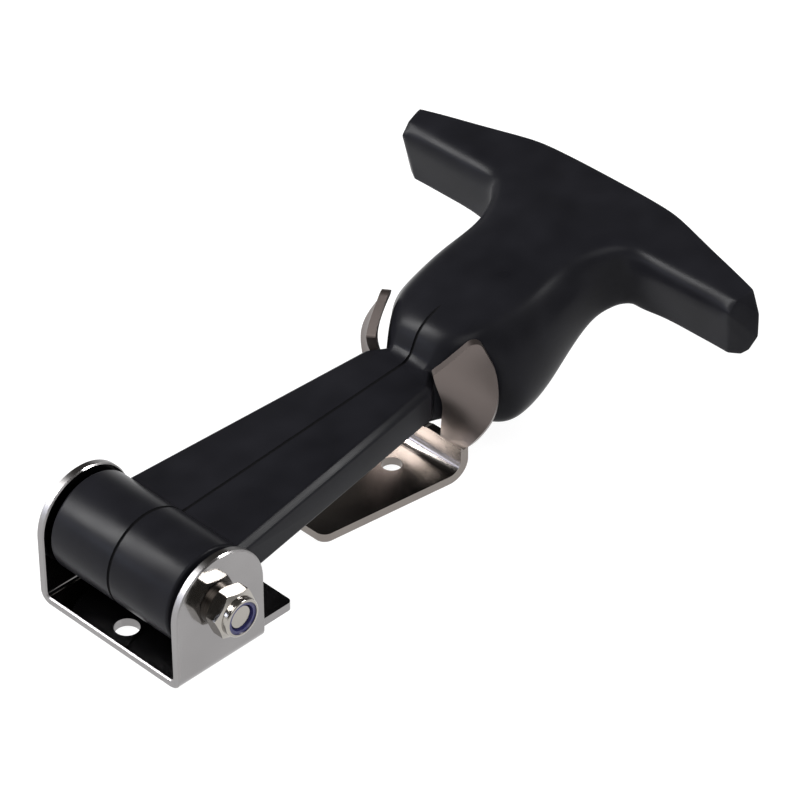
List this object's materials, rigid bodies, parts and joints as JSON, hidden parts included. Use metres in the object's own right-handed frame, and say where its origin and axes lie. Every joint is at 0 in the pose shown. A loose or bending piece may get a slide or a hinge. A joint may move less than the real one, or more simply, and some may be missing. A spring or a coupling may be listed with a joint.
{
  "type": "rubber T draw latch",
  "caption": "Rubber T-handle draw latch: a moulded arm on a pivot bracket, its neck held in a two-horned keeper. Shown closed.",
  "frame": {"origin": "on the panel face under the bracket, below the middle of the pivot", "axes": "+X from the pivot towards the handle, +Y across, towards the bolt's head, +Z away from the panel"},
  "size_m": [0.1484, 0.1056, 0.0448],
  "materials": {
    "stainless": "polished",
    "nylon": "matt",
    "rubber": "satin"
  },
  "bodies": {
    "base": {"bracket": "stainless", "pivot_bolt": "stainless", "lock_nut": "stainless", "nylon_insert": "nylon", "pivot_sleeve": "stainless", "keeper": "stainless"},
    "arm": {"latch_body": "rubber"}
  },
  "joints": [
    {"name": "arm_pivot", "type": "hinge", "parent": "base", "child": "arm", "pos_m": [0, 0, 0.0165], "axis": [0, -1, 0], "range_deg": [0, 170]}
  ]
}
